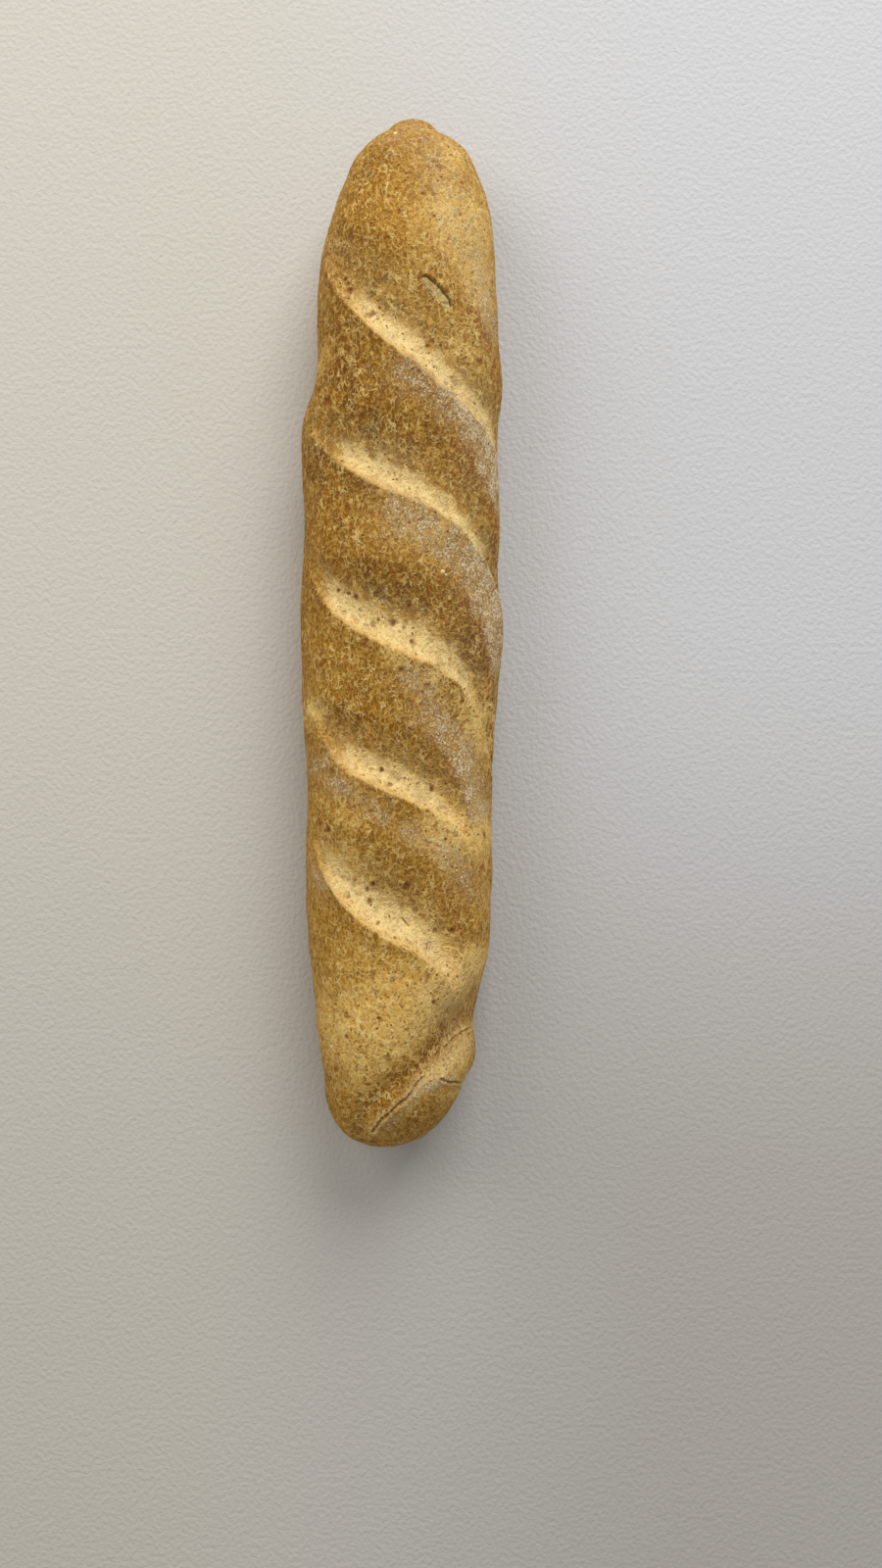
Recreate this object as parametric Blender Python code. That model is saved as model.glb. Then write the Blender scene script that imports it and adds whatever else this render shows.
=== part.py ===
"""A slender loaf of plain bread with five slanting slashes, lying on its flat base.

Metres, +Z up. +X runs along the loaf to its pointed end, and +Y to the left of the slashed face when
it is seen from above with the pointed end at the top. The origin is on the base, under the middle of
the loaf's box.
"""

import math

import bmesh
import bpy
from mathutils import Vector, noise

# Driving sizes
LENGTH = 0.3975
WIDTH = 0.078
HEIGHT = 0.054

# The loaf's section: widest low down, domed above, and cut off flat by the base
WIDEST_LEVEL = 0.39 * HEIGHT
DOME_POWER = 2.15
FOOT_POWER = 2.60
FOOT_DEPTH = 1.18 * WIDEST_LEVEL

# How far each end takes to round off, at the pointed end (+X) and at the blunt end (-X)
SIDE_ROUNDING = (0.073, 0.024)
DOME_ROUNDING = (0.064, 0.042)
FOOT_ROUNDING = (0.034, 0.020)

# Half widths to the left and right of the X axis, as shares of half the width, at stations that are
# shares of half the length. The ends' rounding comes on top.
OUTLINE = (
    (-1.00, 0.82, 0.46),
    (-0.88, 0.77, 0.60),
    (-0.83, 0.80, 0.71),
    (-0.75, 0.86, 0.73),
    (-0.67, 0.89, 0.82),
    (-0.55, 0.94, 0.89),
    (-0.20, 0.96, 0.90),
    (-0.02, 1.00, 1.00),
    (0.12, 0.99, 0.96),
    (0.24, 0.96, 0.98),
    (0.40, 0.99, 0.95),
    (0.50, 0.86, 0.99),
    (0.69, 0.84, 0.94),
    (0.87, 0.79, 1.01),
    (1.00, 0.74, 0.98),
)

# Each slash: where its lip crosses the crest, and how far the lip leans, bows and hooks back towards
# the blunt end by the time it is a quarter turn round. Its turns are those at which it starts, is
# fullest and ends (degrees from the crest, right side positive). Width and depth are at the fullest.
SLASHES = (
    {"at": 0.0985, "lean": 0.046, "bow": 0.014, "hook": 0.004, "turns": (-62, 15, 86), "width": 0.042, "depth": 0.0052},
    {"at": 0.0480, "lean": 0.030, "bow": 0.000, "hook": 0.023, "turns": (-64, 42, 96), "width": 0.036, "depth": 0.0058},
    {"at": -0.0090, "lean": 0.028, "bow": 0.000, "hook": 0.038, "turns": (-63, 40, 92), "width": 0.035, "depth": 0.0062},
    {"at": -0.0620, "lean": 0.026, "bow": 0.000, "hook": 0.038, "turns": (-66, 15, 52), "width": 0.027, "depth": 0.0050},
    {"at": -0.1160, "lean": 0.036, "bow": 0.000, "hook": 0.034, "turns": (-60, 8, 50), "width": 0.037, "depth": 0.0054},
)
FLOOR_AT = 0.26          # share of the opening from the lip to the lowest line of the cut
VALLEY_POWER = 1.15      # at 1 the far slope meets the skin in an edge, and above 1 it eases into it
RIGHT_EASE = 0.45        # share of its depth that a slash loses as it runs down the right side
RIGHT_EASE_TURNS = (25, 70)
LIP_RISE = 0.0018
LIP_REACH = 0.009        # how far behind the lip the skin is lifted

# The fold near the blunt end: a valley that runs across the loaf the other way
FOLD = {"at": -0.1700, "lean": -0.042, "bow": -0.017, "turns": (-44, 40, 100), "depth": 0.0064}
FOLD_SLOPES = (0.016, 0.008)     # its reach towards the pointed end and towards the blunt end

# The small knob that the pointed end finishes in, and the shoulders to its left and right
KNOB = {"right": 0.0030, "rise": 0.0003, "reach": 0.0090}
SHOULDERS = {"distance": 0.0275, "rise": 0.0016, "reach": 0.0055}

# Lumps of the dough under the crust
LUMP_SIZE = 0.034
LUMP_RISE = 0.0011

# The grid that the surface is worked out on
RINGS = 116
SEGMENTS = 48
RING_LEAN = 0.030        # the rings lean with the slashes
END_CROWDING = 0.10      # rings stand closer together near the two tips
CREST_CROWDING = 0.30    # and segments stand closer together over the dome

CRUST_COLOUR = (0.36, 0.19, 0.055, 1.0)
QUARTER_TURN = math.pi / 2


def along_table(table, column, place):
    """The value of a column of the table at a place along it, on a smooth curve through its rows."""
    last = len(table) - 1
    row = next((i for i in range(1, last) if place < table[i][0]), last)
    before, start, end, after = (table[min(max(i, 0), last)] for i in range(row - 2, row + 2))
    span = end[0] - start[0]
    share = min(max((place - start[0]) / span, 0.0), 1.0)
    slope_in = (end[column] - before[column]) / (end[0] - before[0]) * span
    slope_out = (after[column] - start[column]) / (after[0] - start[0]) * span
    s2, s3 = share**2, share**3
    return (
        (2 * s3 - 3 * s2 + 1) * start[column]
        + (s3 - 2 * s2 + share) * slope_in
        + (3 * s2 - 2 * s3) * end[column]
        + (s3 - s2) * slope_out
    )


def rounding(x, reaches):
    """1 along the loaf, and falling to 0 at each tip as a quarter of an ellipse."""
    result = 1.0
    for reach, distance in zip(reaches, (LENGTH / 2 - x, LENGTH / 2 + x)):
        inside = 1.0 - min(max(distance / reach, 0.0), 1.0)
        result *= math.sqrt(1.0 - inside**2)
    return result


def powered(value, power):
    """One of the two terms of a superellipse: value is a sine or cosine."""
    return math.copysign(abs(value) ** (2.0 / power), value)


def body_point(x, turn):
    """The smooth loaf without its cuts. The turn is the angle round from the crest, right positive."""
    left = along_table(OUTLINE, 1, 2 * x / LENGTH) * WIDTH / 2
    right = along_table(OUTLINE, 2, 2 * x / LENGTH) * WIDTH / 2
    half_width = (left + right) / 2 * rounding(x, SIDE_ROUNDING)
    upper = abs(turn) <= QUARTER_TURN
    power = DOME_POWER if upper else FOOT_POWER
    if upper:
        rise = (HEIGHT - WIDEST_LEVEL) * rounding(x, DOME_ROUNDING)
    else:
        rise = FOOT_DEPTH * rounding(x, FOOT_ROUNDING)
    y = (left - right) / 2 - half_width * powered(math.sin(turn), power)
    z = WIDEST_LEVEL + rise * powered(math.cos(turn), power)
    return Vector((x, y, z))


def body_normal(x, turn):
    """The outward direction at a point of the smooth loaf."""
    step = 0.02
    near_tip = LENGTH / 2 - abs(x)
    reach = min(0.002, 0.4 * near_tip)
    along = body_point(x + reach, turn) - body_point(x - reach, turn)
    around = body_point(x, turn + step) - body_point(x, turn - step)
    normal = around.cross(along)
    if normal.length < 1e-12:
        return Vector((math.copysign(1.0, x), 0.0, 0.0))
    return normal.normalized()


def opening(turn, turns):
    """How far a cut has opened at this turn: 0 at its two ends and 1 where it is fullest."""
    start, fullest, end = (math.radians(t) for t in turns)
    limit = start if turn < fullest else end
    return math.sqrt(max(1.0 - ((turn - fullest) / (limit - fullest)) ** 2, 0.0))


def line_across(cut, turn):
    """Where along the loaf the lip of a slash, or the bottom of the fold, lies at this turn."""
    quarter = turn / QUARTER_TURN
    return cut["at"] - cut["lean"] * quarter + cut["bow"] * quarter**2 - cut.get("hook", 0.0) * quarter**3


def slash_relief(x, turn, slash):
    """The height that one slash adds to the crust: a lifted lip, a steep wall and a long slope up."""
    open_share = opening(turn, slash["turns"])
    if open_share == 0.0:
        return 0.0
    beyond_lip = x - line_across(slash, turn)
    share = beyond_lip / (slash["width"] * open_share)
    if share <= 0.0:
        return LIP_RISE * open_share**2 * math.exp(-((beyond_lip / LIP_REACH) ** 2))
    if share >= 1.0:
        return 0.0
    floor_power = math.log(0.5) / math.log(FLOOR_AT)
    valley = math.sin(math.pi * share**floor_power) ** VALLEY_POWER
    lip = LIP_RISE * max(1.0 - share / FLOOR_AT, 0.0) ** 2
    ease_start, ease_end = (math.radians(t) for t in RIGHT_EASE_TURNS)
    eased = min(max((turn - ease_start) / (ease_end - ease_start), 0.0), 1.0)
    depth = slash["depth"] * (1.0 - RIGHT_EASE * eased)
    return open_share**2 * (lip - depth * valley)


def fold_relief(x, turn):
    """The fold near the blunt end: a valley, steeper on the blunt side."""
    offset = x - line_across(FOLD, turn)
    reach = FOLD_SLOPES[0] if offset > 0 else FOLD_SLOPES[1]
    return -FOLD["depth"] * opening(turn, FOLD["turns"]) ** 2 * math.exp(-((offset / reach) ** 2))


def knob_relief(point):
    """The knob at the pointed end, and the shoulders behind it."""
    offset = point - Vector((LENGTH / 2, -KNOB["right"], WIDEST_LEVEL))
    knob = KNOB["rise"] * math.exp(-((offset.length / KNOB["reach"]) ** 2))
    sideways = (offset.y / offset.length) ** 2
    beyond = (offset.length - SHOULDERS["distance"]) / SHOULDERS["reach"]
    return knob + SHOULDERS["rise"] * sideways * math.exp(-(beyond**2))


def lumps(point):
    """Slow unevenness of the dough."""
    return LUMP_RISE * noise.noise(point / LUMP_SIZE) + LUMP_RISE / 2 * noise.noise(2.3 * point / LUMP_SIZE)


def crust_point(x, turn):
    """The finished surface. Nothing reaches below the base."""
    point = body_point(x, turn)
    relief = sum(slash_relief(x, turn, slash) for slash in SLASHES) + fold_relief(x, turn)
    relief += lumps(point) * rounding(x, SIDE_ROUNDING) + knob_relief(point)
    point += body_normal(x, turn) * relief
    point.z = max(point.z, 0.0)
    return point


def ring_place(share):
    """The distance of a ring from the tip, as a share of half the length, from 0 at the tip to 1."""
    return share**2 * (1 + END_CROWDING) / (share + END_CROWDING)


def grid_place(direction):
    """Where along and round the loaf a point of the round grid goes, from its direction."""
    from_tip = math.acos(max(-1.0, min(1.0, direction.z))) / QUARTER_TURN
    if from_tip <= 1.0:
        x = LENGTH / 2 * (1.0 - ring_place(from_tip))
    else:
        x = -LENGTH / 2 * (1.0 - ring_place(2.0 - from_tip))
    turn = math.atan2(direction.y, direction.x)
    turn -= CREST_CROWDING * math.sin(turn)
    lean = RING_LEAN * (1.0 - (2 * x / LENGTH) ** 4)
    return x - lean * math.sin(turn), turn


def make_loaf(collection):
    """One closed skin: a sphere's grid, with its poles at the tips, laid out on the crust."""
    grid = bmesh.new()
    bmesh.ops.create_uvsphere(grid, u_segments=SEGMENTS, v_segments=RINGS, radius=1.0)
    for vertex in grid.verts:
        vertex.co = crust_point(*grid_place(vertex.co))
    middle = [
        (min(v.co[axis] for v in grid.verts) + max(v.co[axis] for v in grid.verts)) / 2 for axis in (0, 1)
    ]
    bmesh.ops.translate(grid, verts=grid.verts, vec=(-middle[0], -middle[1], 0.0))
    bmesh.ops.recalc_face_normals(grid, faces=grid.faces)
    mesh = bpy.data.meshes.new("loaf")
    grid.to_mesh(mesh)
    grid.free()
    mesh.shade_smooth()
    mesh.materials.append(crust_material())
    loaf = bpy.data.objects.new("loaf", mesh)
    collection.objects.link(loaf)
    return loaf


def crust_material():
    """Golden-brown baked crust."""
    material = bpy.data.materials.new("crust")
    material.use_nodes = True
    shader = material.node_tree.nodes["Principled BSDF"]
    shader.inputs["Base Color"].default_value = CRUST_COLOUR
    shader.inputs["Roughness"].default_value = 0.72
    shader.inputs["Metallic"].default_value = 0.0
    return material


def clear_scene():
    for thing in list(bpy.data.objects):
        bpy.data.objects.remove(thing)


def main():
    clear_scene()
    collection = bpy.data.collections.new("slashed_loaf")
    bpy.context.scene.collection.children.link(collection)
    make_loaf(collection)


main()
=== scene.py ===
import math

import bmesh
import bpy
import numpy as np
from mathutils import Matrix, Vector, noise


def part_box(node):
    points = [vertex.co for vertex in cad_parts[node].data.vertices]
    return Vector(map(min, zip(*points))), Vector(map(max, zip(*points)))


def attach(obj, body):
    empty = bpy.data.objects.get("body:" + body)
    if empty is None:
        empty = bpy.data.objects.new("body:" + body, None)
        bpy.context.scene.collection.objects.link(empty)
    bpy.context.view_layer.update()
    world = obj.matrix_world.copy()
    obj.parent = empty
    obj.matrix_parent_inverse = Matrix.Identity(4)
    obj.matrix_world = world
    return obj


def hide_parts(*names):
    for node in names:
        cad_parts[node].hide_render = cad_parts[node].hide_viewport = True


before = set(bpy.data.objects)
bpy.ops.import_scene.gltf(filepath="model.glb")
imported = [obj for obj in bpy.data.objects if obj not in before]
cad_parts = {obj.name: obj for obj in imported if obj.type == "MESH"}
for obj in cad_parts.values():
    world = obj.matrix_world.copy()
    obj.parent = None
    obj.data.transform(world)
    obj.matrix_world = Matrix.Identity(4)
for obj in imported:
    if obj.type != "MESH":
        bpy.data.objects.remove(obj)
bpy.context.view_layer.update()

mm = 0.001
quarterTurn = math.pi / 2


# Small helpers for building node trees

def srgb(red, green, blue):     # a colour read as 0 to 255, in the linear values that sockets take
    return tuple(((c / 255 + 0.055) / 1.055) ** 2.4 if c > 10 else c / 3295 for c in (red, green, blue))


def put(tree, kind, inputs=None, **settings):     # adds a node, sets its options, links or sets its inputs
    node = tree.nodes.new(kind)
    for name, value in settings.items():
        setattr(node, name, value)
    for name, value in (inputs or {}).items():
        if isinstance(value, bpy.types.NodeSocket):
            tree.links.new(value, node.inputs[name])
        else:
            if isinstance(value, tuple) and len(value) == 3 and node.inputs[name].type == "RGBA":
                value = (*value, 1.0)
            node.inputs[name].default_value = value
    return node


def calc(tree, operation, *values, clamp=False):
    node = put(tree, "ShaderNodeMath", dict(enumerate(values)), operation=operation, use_clamp=clamp)
    return node.outputs[0]


def ramp(tree, value, low, high, start=0.0, end=1.0):     # a smooth step from start to end
    node = put(tree, "ShaderNodeMapRange", {"Value": value, "From Min": low, "From Max": high,
                                            "To Min": start, "To Max": end},
               interpolation_type="SMOOTHSTEP")
    return node.outputs[0]


def blendColour(tree, share, first, second, way="MIX"):
    node = put(tree, "ShaderNodeMix", {0: share, 6: first, 7: second}, data_type="RGBA", blend_type=way)
    return node.outputs[2]


def blendValue(tree, share, first, second):
    return put(tree, "ShaderNodeMix", {0: share, 2: first, 3: second}, data_type="FLOAT").outputs[0]


def attribute(tree, name):
    return put(tree, "ShaderNodeAttribute", attribute_name=name).outputs["Fac"]


def newGroup(name, inputs, outputs):     # inputs: name -> default, or None for a vector
    tree = bpy.data.node_groups.new(name, "ShaderNodeTree")
    for socketName, default in inputs.items():
        kind = "NodeSocketVector" if default is None else "NodeSocketFloat"
        socket = tree.interface.new_socket(name=socketName, in_out="INPUT", socket_type=kind)
        if default is not None:
            socket.default_value = default
    for socketName in outputs:
        tree.interface.new_socket(name=socketName, in_out="OUTPUT", socket_type="NodeSocketFloat")
    start = tree.nodes.new("NodeGroupInput")
    end = tree.nodes.new("NodeGroupOutput")
    return tree, start.outputs, end.inputs


def useGroup(tree, group, **inputs):     # inputs are named as in the group
    node = put(tree, "ShaderNodeGroup", node_tree=group)
    for name, value in inputs.items():
        if isinstance(value, bpy.types.NodeSocket):
            tree.links.new(value, node.inputs[name])
        else:
            node.inputs[name].default_value = value
    return node.outputs[0]


# Effects that the bread's finish is made of

def makeNetGroup():     # a net of fine raised strands, as wrinkled crust shows
    tree, given, result = newGroup("strandNet", {"Vector": None, "Size": 0.0016, "Width": 0.06, "Waver": 1.0},
                                   ["Strands"])
    scale = calc(tree, "DIVIDE", 1.0, given["Size"])
    layers = []
    for offset in (0.0, 3.7):
        place = put(tree, "ShaderNodeVectorMath", {0: given["Vector"], 1: (offset, offset, offset)},
                    operation="ADD")
        cloud = put(tree, "ShaderNodeTexNoise", {"Vector": place.outputs[0], "Scale": scale, "Detail": 1.0,
                                                 "Roughness": 0.5, "Distortion": given["Waver"]})
        offLine = calc(tree, "ABSOLUTE", calc(tree, "SUBTRACT", cloud.outputs["Fac"], 0.5))
        layers.append(ramp(tree, offLine, 0.0, given["Width"], 1.0, 0.0))
    tree.links.new(calc(tree, "MAXIMUM", *layers), result["Strands"])
    return tree


def makeSpotGroup():     # roundish spots, one at most in each cell, in a share of the cells
    tree, given, result = newGroup("spots", {"Vector": None, "Spacing": 0.002, "Radius": 0.3, "Share": 0.5},
                                   ["Spots"])
    scale = calc(tree, "DIVIDE", 1.0, given["Spacing"])
    cells = put(tree, "ShaderNodeTexVoronoi", {"Vector": given["Vector"], "Scale": scale, "Randomness": 1.0})
    edge = put(tree, "ShaderNodeTexNoise", {"Vector": given["Vector"], "Detail": 1.0,
                                            "Scale": calc(tree, "MULTIPLY", scale, 3.2)})
    draw = put(tree, "ShaderNodeSeparateColor", {0: cells.outputs["Color"]})
    chosen = calc(tree, "LESS_THAN", draw.outputs[0], given["Share"])
    radius = calc(tree, "MULTIPLY", given["Radius"], calc(tree, "MULTIPLY_ADD", draw.outputs[1], 0.7, 0.5))
    ragged = calc(tree, "MULTIPLY", calc(tree, "SUBTRACT", edge.outputs["Fac"], 0.5),
                  calc(tree, "MULTIPLY", radius, 1.6))
    away = calc(tree, "ADD", cells.outputs["Distance"], ragged)
    spots = ramp(tree, away, calc(tree, "MULTIPLY", radius, 0.45), radius, 1.0, 0.0)
    tree.links.new(calc(tree, "MULTIPLY", spots, chosen), result["Spots"])
    return tree


def makeMottleGroup():     # soft patches, from 0 to 1 about an even 0.5
    tree, given, result = newGroup("mottle", {"Vector": None, "Size": 0.01, "Contrast": 2.0}, ["Patches"])
    scale = calc(tree, "DIVIDE", 1.0, given["Size"])
    cloud = put(tree, "ShaderNodeTexNoise", {"Vector": given["Vector"], "Scale": scale, "Detail": 3.0,
                                             "Roughness": 0.6})
    swing = calc(tree, "MULTIPLY", calc(tree, "SUBTRACT", cloud.outputs["Fac"], 0.5), given["Contrast"])
    tree.links.new(calc(tree, "ADD", swing, 0.5, clamp=True), result["Patches"])
    return tree


netGroup = makeNetGroup()
spotGroup = makeSpotGroup()
mottleGroup = makeMottleGroup()
print("shader groups ready")


# The loaf's form, from the same sizes as the solid

loaf = {
    "length": 0.3975, "width": 0.078, "height": 0.054,
    "widestLevel": 0.39, "domePower": 2.15, "footPower": 2.60, "footDepth": 1.18,
    "sideRounding": (0.073, 0.024), "domeRounding": (0.064, 0.042), "footRounding": (0.034, 0.020),
    "outline": (     # place as a share of half the length, then left and right breadth as shares of full
        (-1.00, 0.82, 0.46), (-0.88, 0.77, 0.60), (-0.83, 0.80, 0.71), (-0.75, 0.86, 0.73),
        (-0.67, 0.89, 0.82), (-0.55, 0.94, 0.89), (-0.20, 0.96, 0.90), (-0.02, 1.00, 1.00),
        (0.12, 0.99, 0.96), (0.24, 0.96, 0.98), (0.40, 0.99, 0.95), (0.50, 0.86, 0.99),
        (0.69, 0.84, 0.94), (0.87, 0.79, 1.01), (1.00, 0.74, 0.98)),
    # Each slash: where its lip crosses the crest, how the lip runs, the turns in degrees that it spans, its
    # width and depth, the breadth of its pale wall, the turns over which the wall comes and goes, and how
    # much pale dough shows on its floor
    "slashes": (
        {"at": 0.0985, "lean": 0.046, "bow": 0.014, "hook": 0.004, "turns": (-62, 15, 86), "width": 0.042,
         "depth": 0.0052, "wall": 0.0125, "paleFrom": (-54, -16), "paleTo": (74, 90), "doughShare": 0.25},
        {"at": 0.0480, "lean": 0.030, "bow": 0.000, "hook": 0.023, "turns": (-64, 42, 96), "width": 0.036,
         "depth": 0.0058, "wall": 0.0125, "paleFrom": (-54, -20), "paleTo": (64, 86), "doughShare": 0.15},
        {"at": -0.0090, "lean": 0.028, "bow": 0.000, "hook": 0.038, "turns": (-63, 40, 92), "width": 0.035,
         "depth": 0.0062, "wall": 0.0145, "paleFrom": (-60, -34), "paleTo": (46, 68), "doughShare": 0.10},
        {"at": -0.0620, "lean": 0.026, "bow": 0.000, "hook": 0.038, "turns": (-66, 15, 52), "width": 0.027,
         "depth": 0.0050, "wall": 0.0115, "paleFrom": (-56, -16), "paleTo": (30, 48), "doughShare": 0.25},
        {"at": -0.1160, "lean": 0.036, "bow": 0.000, "hook": 0.034, "turns": (-60, 8, 50), "width": 0.037,
         "depth": 0.0054, "wall": 0.0150, "paleFrom": (-60, -38), "paleTo": (26, 46), "doughShare": 0.22}),
    "floorAt": 0.26, "valleyPower": 1.15, "lipRise": 0.0018, "lipReach": 0.009,
    "rightEase": 0.45, "rightEaseTurns": (25, 70),
    "fold": {"at": -0.1700, "lean": -0.042, "bow": -0.017, "hook": 0.0, "turns": (-44, 40, 100),
             "depth": 0.0064},
    "foldSlopes": (0.016, 0.008),
    "knob": {"right": 0.0030, "rise": 0.0003, "reach": 0.0090},
    "shoulders": {"distance": 0.0275, "rise": 0.0016, "reach": 0.0055},
    "lumpSize": 0.034, "lumpRise": 0.0011,
}

crust = {
    "rings": 424, "segments": 196,          # of the fine grid
    "ringLean": 0.030, "endCrowding": 0.10, "crestCrowding": 0.34,
    "lipWander": 1.0 * mm,                  # how far the torn lips stray from their line
    "skinStep": 0.30 * mm,                  # the baked skin stands this proud of the opened dough
    "wrinkleSize": 4.2 * mm, "wrinkleRise": 0.26 * mm,
    "grainSize": 2.0 * mm, "grainRise": 0.13 * mm,
    "doughSize": 3.4 * mm, "doughRise": 0.60 * mm,     # of the torn dough in the slashes
    "pitDepth": 0.8 * mm,
    "neckDepth": 1.6 * mm, "neckAt": 14 * mm,          # of the ring that sets off the knob at the tip
}


def alongOutline(column, place):     # a smooth curve through a column of the outline
    rows = np.array(loaf["outline"])
    last = len(rows) - 1
    row = np.clip(np.searchsorted(rows[:, 0], place, side="right"), 1, last)
    before, start, end, after = (rows[np.clip(row + step, 0, last)] for step in (-2, -1, 0, 1))
    span = end[:, 0] - start[:, 0]
    share = np.clip((place - start[:, 0]) / span, 0.0, 1.0)
    slopeIn = (end[:, column] - before[:, column]) / (end[:, 0] - before[:, 0]) * span
    slopeOut = (after[:, column] - start[:, column]) / (after[:, 0] - start[:, 0]) * span
    square, cube = share**2, share**3
    return ((2 * cube - 3 * square + 1) * start[:, column] + (cube - 2 * square + share) * slopeIn
            + (3 * square - 2 * cube) * end[:, column] + (cube - square) * slopeOut)


def rounding(x, reaches):     # 1 along the loaf, falling to 0 at each tip
    result = np.ones_like(x)
    for reach, distance in zip(reaches, (loaf["length"] / 2 - x, loaf["length"] / 2 + x)):
        inside = 1.0 - np.clip(distance / reach, 0.0, 1.0)
        result = result * np.sqrt(1.0 - inside**2)
    return result


def powered(value, power):
    return np.copysign(np.abs(value) ** (2.0 / power), value)


def bodyPoint(x, turn):     # the loaf without its cuts
    place = 2 * x / loaf["length"]
    left = alongOutline(1, place) * loaf["width"] / 2
    right = alongOutline(2, place) * loaf["width"] / 2
    halfWidth = (left + right) / 2 * rounding(x, loaf["sideRounding"])
    widest = loaf["widestLevel"] * loaf["height"]
    upper = np.abs(turn) <= quarterTurn
    power = np.where(upper, loaf["domePower"], loaf["footPower"])
    rise = np.where(upper, (loaf["height"] - widest) * rounding(x, loaf["domeRounding"]),
                    loaf["footDepth"] * widest * rounding(x, loaf["footRounding"]))
    y = (left - right) / 2 - halfWidth * powered(np.sin(turn), power)
    z = widest + rise * powered(np.cos(turn), power)
    return np.stack((x, y, z), axis=1)


def bodyNormal(x, turn):
    reach = np.minimum(0.002, 0.4 * (loaf["length"] / 2 - np.abs(x)))
    along = bodyPoint(x + reach, turn) - bodyPoint(x - reach, turn)
    around = bodyPoint(x, turn + 0.02) - bodyPoint(x, turn - 0.02)
    normal = np.cross(around, along)
    length = np.linalg.norm(normal, axis=1)
    tip = length < 1e-12
    normal[tip] = np.stack((np.sign(x[tip]), 0 * x[tip], 0 * x[tip]), axis=1)
    return normal / np.where(tip, 1.0, length)[:, None]


def opening(turn, turns):
    start, fullest, end = (math.radians(t) for t in turns)
    limit = np.where(turn < fullest, start, end)
    return np.sqrt(np.maximum(1.0 - ((turn - fullest) / (limit - fullest)) ** 2, 0.0))


def lineAcross(cut, turn):
    quarter = turn / quarterTurn
    return cut["at"] - cut["lean"] * quarter + cut["bow"] * quarter**2 - cut["hook"] * quarter**3


def noiseOver(points, size, offset=0.0, stretch=1.0):     # smooth noise about 0, longer along X by stretch
    scaled = points / size / np.array((stretch, 1.0, 1.0)) + offset
    return np.array([noise.noise(p) for p in scaled.tolist()])


def bump(value, centre, reach):
    return np.exp(-((value - centre) / reach) ** 2)


def step(value, low, high):
    share = np.clip((value - low) / (high - low), 0.0, 1.0)
    return share * share * (3 - 2 * share)


def pathDistance(points, path):     # in mm, from points to a line of corners in mm, seen from above
    best = np.full(len(points), 1e9)
    seen = points[:, :2] / mm
    for start, end in zip(path[:-1], path[1:]):
        start, end = np.array(start, float), np.array(end, float)
        along = end - start
        share = np.clip((seen - start) @ along / (along @ along), 0.0, 1.0)
        best = np.minimum(best, np.linalg.norm(seen - start - share[:, None] * along, axis=1))
    return best


def acrossLine(points, start, end):     # how far points lie along a line, as a share, and to its left, in mm
    along = np.subtract(end, start)
    length = np.linalg.norm(along)
    seen = points[:, :2] / mm - start
    return seen @ along / length**2, (along[0] * seen[:, 1] - along[1] * seen[:, 0]) / length


def spotDistance(points, x, y):     # in mm, seen from above
    return np.hypot(points[:, 0] / mm - x, points[:, 1] / mm - y)


# Small marks, placed by where they show from above: x along the loaf and y to the left, in mm

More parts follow.
